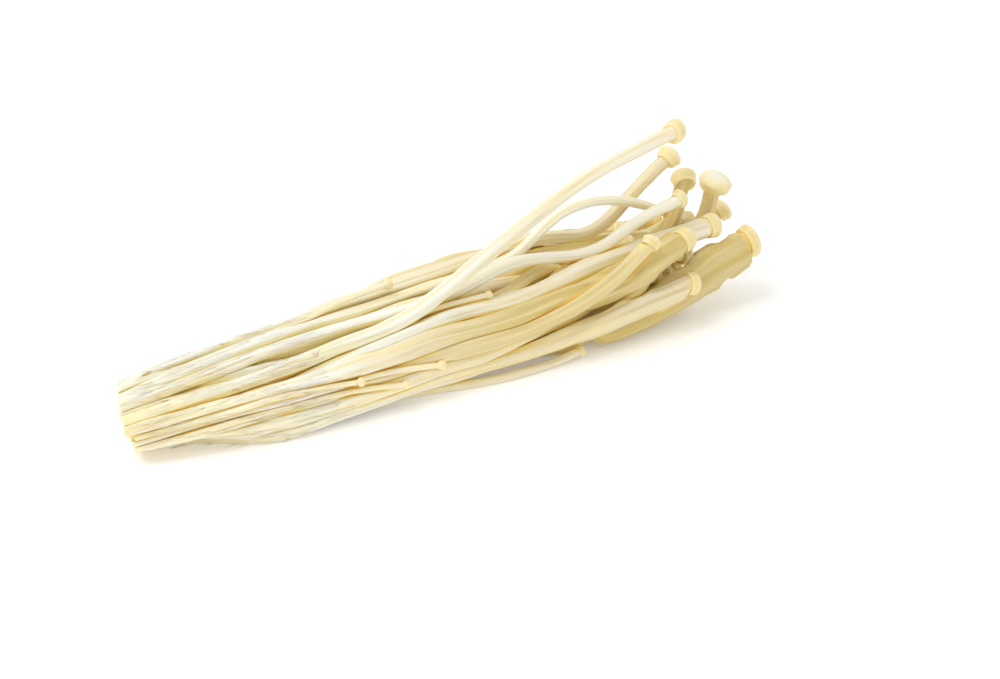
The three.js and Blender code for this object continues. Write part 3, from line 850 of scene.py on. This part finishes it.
def clingTo(pieces, name, look, tree, finish):
    shape = bmesh.new()
    for piece in pieces:
        shape.from_mesh(piece.data)
    skin = bpy.data.meshes.new(name)
    shape.to_mesh(skin)
    shape.free()
    holder = bpy.data.objects.new(name, skin)
    bpy.context.scene.collection.objects.link(holder)
    modifier = holder.modifiers.new("fibres", "NODES")
    modifier.node_group = tree
    for label in ("Density", "Length", "Width", "Swing", "Seed"):
        setInput(modifier, label, look[label.lower()])
    setInput(modifier, "Reach", fibreLook["reach"])
    setInput(modifier, "Shown Below", fibreLook["shownBelow"])
    setInput(modifier, "Finish", finish)
    mesh = plainMesh(holder)
    bpy.data.objects.remove(holder)
    co = np.zeros(len(mesh.vertices) * 3)
    mesh.vertices.foreach_get("co", co)
    co = co.reshape(-1, 3)
    co[:, 2] = np.maximum(co[:, 2], 0.0)
    mesh.vertices.foreach_set("co", co.ravel())
    mesh.polygons.foreach_set("use_smooth", [True] * len(mesh.polygons))
    made = bpy.data.objects.new(name, mesh)
    bpy.context.scene.collection.objects.link(made)
    print(name, "has", len(mesh.polygons), "faces")
    return made


fleshLook = {
    "pale": tint(254, 250, 240),
    "cream": tint(252, 244, 222),
    "straw": tint(250, 230, 176),
    # the capward tint is partly the flesh's warmer tone towards the cap, partly painted shade on stems lying
    # low and to the right
    "capward": tint(214, 193, 120),
    # painted shade for the gaps between stems, golden like light through the flesh, pale on the feet lying
    # on top
    "amberGapShade": tint(255, 234, 158),
    "paleGapShade": tint(255, 244, 200),
    "amberDeepShade": tint(255, 212, 98),
    "paleDeepShade": tint(255, 230, 152),
    # painted shade for the creases between grown-together strands
    "creaseShade": tint(247, 230, 170),
    "stain": tint(222, 186, 100),
    "cutFace": tint(242, 222, 166),
    "cutPith": tint(249, 238, 206),
    "cutSpeck": tint(214, 176, 104),
    "amber": tint(208, 172, 88),
    # the cap's ivory from a yellower rim to a whiter crown, the crown's white being a painted highlight
    "capRim": tint(243, 226, 170),
    "capCrownHighlight": tint(255, 249, 230),
}


fleshRanges = {  # from, to, and where given the lowest and highest result
    "footness": (2.0, 48.0, 1.0, 0.0),  # mm from the cut
    "streak": (0.36, 0.66),
    "capward": (0.22, 0.74),  # shares of a stem's length
    "veins": (0.42, 0.74, 0.0, 0.32),
    "stains": (0.56, 0.72),
    "crownHighlight": (0.58, 1.06),
    "pith": (0.38, 0.62),
    "specks": (0.55, 0.70, 0.0, 0.6),
    "shallow": (0.22, 0.60, 0.0, 0.85),
    "deep": (0.45, 0.85, 0.0, 0.9),
}
fleshShares = {  # how strongly each tint or unevenness shows
    "cream": 0.75,
    "straw": 0.40,
    "strawStreaks": 0.45,
    "warmAndShaded": 0.84,
    "warmStreaks": 0.22,
    "stains": 0.7,
    "capMottle": 0.45,
    "cap": 0.9,
    "cut": 0.85,
    "crease": 0.7,
    "paleGapShadeStrength": 1.33,
}
grainLook = {
    "fineness": 1500.0,
    "stretch": 0.022,
    "fibreFineness": 3.2,  # against the streaks
    "mottle": 900.0,
    "specks": 3200.0,
    "scrapPatches": 420.0,
}
skinLook = {
    "rough": 0.30,
    "roughStreaks": 0.22,
    "roughFoot": 0.15,
    "shine": 0.45,
    "driedShine": 0.35,
    "scatter": 0.85,
    "scatterRadius": (1.0, 0.92, 0.72),
    "scatterDepth": 0.7 * mm,
    "bump": 0.35,
    "bumpFoot": 0.6,
    "bumpStreaks": 1.5,
    "bumpDepth": 0.09 * mm,
}


def attributeOf(tree, name, output="Fac"):
    return addNode(tree, "ShaderNodeAttribute", attribute_name=name).outputs[output]


def mixColours(tree, share, first, second):
    node = addNode(tree, "ShaderNodeMix", data_type="RGBA")
    plug(tree, share, node.inputs[0])
    plug(tree, first, node.inputs[6])
    plug(tree, second, node.inputs[7])
    return node.outputs[2]


def ramp(tree, value, low, high, toLow=0.0, toHigh=1.0):
    return addNode(
        tree, "ShaderNodeMapRange",
        {"Value": value, "From Min": low, "From Max": high, "To Min": toLow, "To Max": toHigh},
        interpolation_type="SMOOTHSTEP",
    ).outputs[0]


def makeGrainGroup():
    tree, given, result = newGroup(
        "stemGrain",
        "ShaderNodeTree",
        [
            ("Grain", "NodeSocketVector"),
            ("Fineness", "NodeSocketFloat", 1500.0),
            ("Stretch", "NodeSocketFloat", 0.05),
        ],
        [("Streaks", "NodeSocketFloat"), ("Fibres", "NodeSocketFloat")],
    )
    long = addNode(tree, "ShaderNodeCombineXYZ", {"X": 1.0, "Y": 1.0, "Z": given["Stretch"]}).outputs[0]
    spot = addNode(
        tree, "ShaderNodeVectorMath", {0: given["Grain"], 1: long}, operation="MULTIPLY"
    ).outputs[0]
    streaks = addNode(
        tree, "ShaderNodeTexNoise", {"Vector": spot, "Scale": given["Fineness"], "Detail": 3.0}
    )
    fineScale = maths(tree, "MULTIPLY", given["Fineness"], grainLook["fibreFineness"])
    fibres = addNode(tree, "ShaderNodeTexNoise", {"Vector": spot, "Scale": fineScale, "Detail": 4.0})
    plug(tree, streaks.outputs[0], result["Streaks"])
    plug(tree, fibres.outputs[0], result["Fibres"])
    return tree


def makeFlesh(name, grainGroup, dried=False):
    # dried flesh is that of the torn threads, which have the colour of the stem under them
    material = bpy.data.materials.new(name)
    material.use_nodes = True
    tree = material.node_tree
    skin = tree.nodes["Principled BSDF"]
    grain = addNode(tree, "ShaderNodeGroup", node_tree=grainGroup)
    plug(tree, attributeOf(tree, "grain", "Vector"), grain.inputs["Grain"])
    grain.inputs["Fineness"].default_value = grainLook["fineness"]
    grain.inputs["Stretch"].default_value = grainLook["stretch"]
    footness = ramp(tree, attributeOf(tree, "toFoot"), *fleshRanges["footness"])
    onCap = attributeOf(tree, "onCap")
    warmthAndShade = attributeOf(tree, "warmthAndShade")

    streak = ramp(tree, grain.outputs["Streaks"], *fleshRanges["streak"])
    creamy = maths(tree, "MULTIPLY", streak, fleshShares["cream"])
    base = mixColours(tree, creamy, fleshLook["pale"], fleshLook["cream"])
    # the straw tint near the cut is the flesh's own; feet lying on top get less of it, painted light as the
    # top of the bunch is more lit, and the stains, roughness and bumps near the foot follow it too
    footness = maths(tree, "MULTIPLY", footness, attributeOf(tree, "straw"))
    strawy = maths(tree, "MULTIPLY", streak, fleshShares["strawStreaks"])
    straw = maths(tree, "MULTIPLY", footness, maths(tree, "ADD", strawy, fleshShares["straw"]))
    base = mixColours(tree, straw, base, fleshLook["straw"])
    # the warm tint towards the caps: partly the stems' own warmer tone, partly painted shade, strongest on
    # stems that lie low and to the right
    capward = ramp(tree, attributeOf(tree, "share"), *fleshRanges["capward"])
    warmAndShaded = maths(tree, "MULTIPLY", capward, warmthAndShade)
    streaked = maths(tree, "MULTIPLY", streak, fleshShares["warmStreaks"])
    streaked = maths(tree, "ADD", streaked, fleshShares["warmAndShaded"])
    base = mixColours(tree, maths(tree, "MULTIPLY", warmAndShaded, streaked), base, fleshLook["capward"])
    # amber veins along the fibres, as strong as that warm tint with its painted shade
    veins = ramp(tree, grain.outputs["Fibres"], *fleshRanges["veins"])
    base = mixColours(tree, maths(tree, "MULTIPLY", veins, warmAndShaded), base, fleshLook["amber"])
    stains = ramp(tree, grain.outputs["Fibres"], *fleshRanges["stains"])
    stains = maths(tree, "MULTIPLY", stains, maths(tree, "MULTIPLY", footness, fleshShares["stains"]))
    base = mixColours(tree, stains, base, fleshLook["stain"])
    place = addNode(tree, "ShaderNodeTexCoord").outputs["Object"]
    mottle = addNode(
        tree, "ShaderNodeTexNoise", {"Vector": place, "Scale": grainLook["mottle"], "Detail": 4.0}
    ).outputs[0]
    unevenly = maths(tree, "MULTIPLY", maths(tree, "SUBTRACT", mottle, 0.5), fleshShares["capMottle"])
    # the cap goes from its yellower rim to a whiter crown: its ivory with a painted highlight on the crown
    upCap = maths(tree, "ADD", attributeOf(tree, "overCap"), unevenly)
    crownHighlight = ramp(tree, upCap, *fleshRanges["crownHighlight"])
    cap = mixColours(tree, crownHighlight, fleshLook["capRim"], fleshLook["capCrownHighlight"])
    base = mixColours(tree, maths(tree, "MULTIPLY", onCap, fleshShares["cap"]), base, cap)
    specks = addNode(
        tree, "ShaderNodeTexNoise", {"Vector": place, "Scale": grainLook["specks"], "Detail": 3.0}
    ).outputs[0]
    pithy = ramp(tree, mottle, *fleshRanges["pith"])
    cut = mixColours(tree, pithy, fleshLook["cutFace"], fleshLook["cutPith"])
    cut = mixColours(tree, ramp(tree, specks, *fleshRanges["specks"]), cut, fleshLook["cutSpeck"])
    onCut = maths(tree, "MULTIPLY", attributeOf(tree, "onCut"), fleshShares["cut"])
    base = mixColours(tree, onCut, base, cut)
    # painted shade in the creases between grown-together strands
    creased = maths(tree, "MULTIPLY", attributeOf(tree, "crease"), fleshShares["crease"])
    base = mixColours(tree, creased, base, fleshLook["creaseShade"])
    # painted shade in the gaps the rays found, stronger where they are deeper
    gap = attributeOf(tree, "gap")
    shallow = ramp(tree, gap, *fleshRanges["shallow"])
    # painted gap shade: pale on the feet that lie on top, which are more lit, amber on the rest
    onTop = maths(tree, "SUBTRACT", 1.0, attributeOf(tree, "straw"))
    onTop = maths(tree, "MULTIPLY", onTop, fleshShares["paleGapShadeStrength"])
    onTop = maths(tree, "MULTIPLY", onTop, maths(tree, "SUBTRACT", 1.0, capward))
    gapShadeColour = mixColours(tree, onTop, fleshLook["amberGapShade"], fleshLook["paleGapShade"])
    base = mixColours(tree, shallow, base, gapShadeColour)
    deep = ramp(tree, gap, *fleshRanges["deep"])
    deepShadeColour = mixColours(tree, onTop, fleshLook["amberDeepShade"], fleshLook["paleDeepShade"])
    base = mixColours(tree, deep, base, deepShadeColour)
    plug(tree, base, skin.inputs["Base Color"])

    smoothCap = maths(tree, "SUBTRACT", 1.0, onCap)
    rough = maths(tree, "MULTIPLY", grain.outputs["Streaks"], skinLook["roughStreaks"])
    rough = maths(tree, "MULTIPLY", rough, smoothCap)
    rough = maths(tree, "ADD", rough, maths(tree, "MULTIPLY", footness, skinLook["roughFoot"]))
    rough = maths(tree, "ADD", rough, skinLook["rough"])
    plug(tree, rough, skin.inputs["Roughness"])
    if dried:
        skin.inputs["Specular IOR Level"].default_value = skinLook["driedShine"]
        return material
    skin.inputs["Subsurface Weight"].default_value = skinLook["scatter"]
    skin.inputs["Subsurface Radius"].default_value = skinLook["scatterRadius"]
    skin.inputs["Subsurface Scale"].default_value = skinLook["scatterDepth"]
    skin.inputs["Specular IOR Level"].default_value = skinLook["shine"]

    ridges = maths(tree, "MULTIPLY", grain.outputs["Streaks"], skinLook["bumpStreaks"])
    height = maths(tree, "ADD", grain.outputs["Fibres"], ridges)
    bump = addNode(tree, "ShaderNodeBump", {"Height": height})
    bump.inputs["Distance"].default_value = skinLook["bumpDepth"]
    strength = maths(tree, "MULTIPLY", footness, skinLook["bumpFoot"])
    strength = maths(tree, "ADD", strength, skinLook["bump"])
    plug(tree, maths(tree, "MULTIPLY", strength, smoothCap), bump.inputs["Strength"])
    plug(tree, bump.outputs[0], skin.inputs["Normal"])
    return material


def makeScrapFlesh(name, colour):
    # brownish scraps, each a little paler or darker than the next
    material = bpy.data.materials.new(name)
    material.use_nodes = True
    tree = material.node_tree
    skin = tree.nodes["Principled BSDF"]
    place = addNode(tree, "ShaderNodeTexCoord").outputs["Object"]
    patches = addNode(
        tree, "ShaderNodeTexNoise", {"Vector": place, "Scale": grainLook["scrapPatches"], "Detail": 2.0}
    ).outputs[0]
    share = ramp(tree, patches, 0.35, 0.68)
    plug(tree, mixColours(tree, share, colour, fleshLook["cream"]), skin.inputs["Base Color"])
    plug(tree, maths(tree, "ADD", maths(tree, "MULTIPLY", patches, 0.3), 0.35), skin.inputs["Roughness"])
    skin.inputs["Specular IOR Level"].default_value = skinLook["driedShine"]
    return material


cameraLook = {
    "azimuth": -31.0,
    "elevation": 26.0,
    "lens": 85.0,
    "distance": 487 * mm,
    "sensor": 36.0,
    "clip": (0.01, 20.0),
    "aimFromMiddle": (9.354 * mm, -8.013 * mm, -17.478 * mm),
}


def placeCamera():
    low, high = cadBox
    aim = (low + high) / 2 + Vector(cameraLook["aimFromMiddle"])
    a, e = math.radians(cameraLook["azimuth"]), math.radians(cameraLook["elevation"])
    back = Vector((math.sin(a) * math.cos(e), -math.cos(a) * math.cos(e), math.sin(e)))
    data = bpy.data.cameras.new("camera")
    data.lens = cameraLook["lens"]
    data.sensor_width = cameraLook["sensor"]
    data.clip_start, data.clip_end = cameraLook["clip"]
    data.dof.use_dof = False
    camera = bpy.data.objects.new("camera", data)
    camera.location = aim + back * cameraLook["distance"]
    camera.rotation_euler = (-back).to_track_quat("-Z", "Y").to_euler()
    bpy.context.scene.collection.objects.link(camera)
    bpy.context.scene.camera = camera


lightLook = {
    "sky": 0.77,
    "boardGlow": 0.16,
    "key": {"from": (-0.28, 0.03, 0.60), "size": 0.45, "power": 1.75},
}


def placeLights():
    world = bpy.data.worlds.new("studio")
    world.use_nodes = True
    world.node_tree.nodes["Background"].inputs["Color"].default_value = (1, 1, 1, 1)
    world.node_tree.nodes["Background"].inputs["Strength"].default_value = lightLook["sky"]
    bpy.context.scene.world = world
    key = lightLook["key"]
    data = bpy.data.lights.new("key", "AREA")
    data.shape = "DISK"
    data.size = key["size"]
    data.energy = key["power"]
    light = bpy.data.objects.new("key", data)
    light.location = key["from"]
    light.rotation_euler = (-Vector(key["from"])).to_track_quat("-Z", "Y").to_euler()
    bpy.context.scene.collection.objects.link(light)


floorLook = {"half": 3.0, "colour": (0.98, 0.98, 0.98, 1), "roughness": 0.6, "shine": 0.2}


def layFloor():
    mesh = bpy.data.meshes.new("floor")
    half = floorLook["half"]
    corners = [(-half, -half, 0), (half, -half, 0), (half, half, 0), (-half, half, 0)]
    mesh.from_pydata(corners, [], [(0, 1, 2, 3)])
    floor = bpy.data.objects.new("floor", mesh)
    bpy.context.scene.collection.objects.link(floor)
    material = bpy.data.materials.new("whiteBoard")
    material.use_nodes = True
    skin = material.node_tree.nodes["Principled BSDF"]
    skin.inputs["Base Color"].default_value = floorLook["colour"]
    skin.inputs["Roughness"].default_value = floorLook["roughness"]
    skin.inputs["Specular IOR Level"].default_value = floorLook["shine"]
    skin.inputs["Emission Color"].default_value = (1, 1, 1, 1)
    skin.inputs["Emission Strength"].default_value = lightLook["boardGlow"]
    mesh.materials.append(material)


placeCamera()
placeLights()
layFloor()
bpy.context.scene.view_settings.view_transform = "Standard"
print("camera, light and floor are in place")

mushrooms = [Mushroom(node, i + 1) for i, node in enumerate(sorted(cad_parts))]
levelFeet(mushrooms)
print("read", len(mushrooms), "mushrooms from the frame")

tubeTree = makeTubeTree()
grainGroup = makeGrainGroup()
stemFlesh = makeFlesh("stemFlesh", grainGroup)
pieces = []
for mushroom in mushrooms:
    tube, creased = tubeAlong(mushroom, tubeTree)
    tube = pressTogether(mushroom, broaden(mushroom, tube), mushrooms)
    piece = growMushroom(mushroom, tube, creased)
    piece.data.materials.append(stemFlesh)
    pieces.append(piece)
print("grew the mushrooms")

shadeGaps(pieces)
print("found the gaps between them")

fibreTree = makeFibreTree()
fibreFlesh = makeFlesh("fibreFlesh", grainGroup, dried=True)
scrapFlesh = makeScrapFlesh("scrapFlesh", fleshLook["stain"])
threads = clingTo(pieces, "torn_threads", fibreLook["threads"], fibreTree, fibreFlesh)
flakes = clingTo(pieces, "foot_scraps", fibreLook["flakes"], fibreTree, scrapFlesh)
for piece in (threads, flakes):
    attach(piece, "root")
print("laid the torn fibres")

for mushroom, piece in zip(mushrooms, pieces):
    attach(piece, "root")
    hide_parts(mushroom.node)
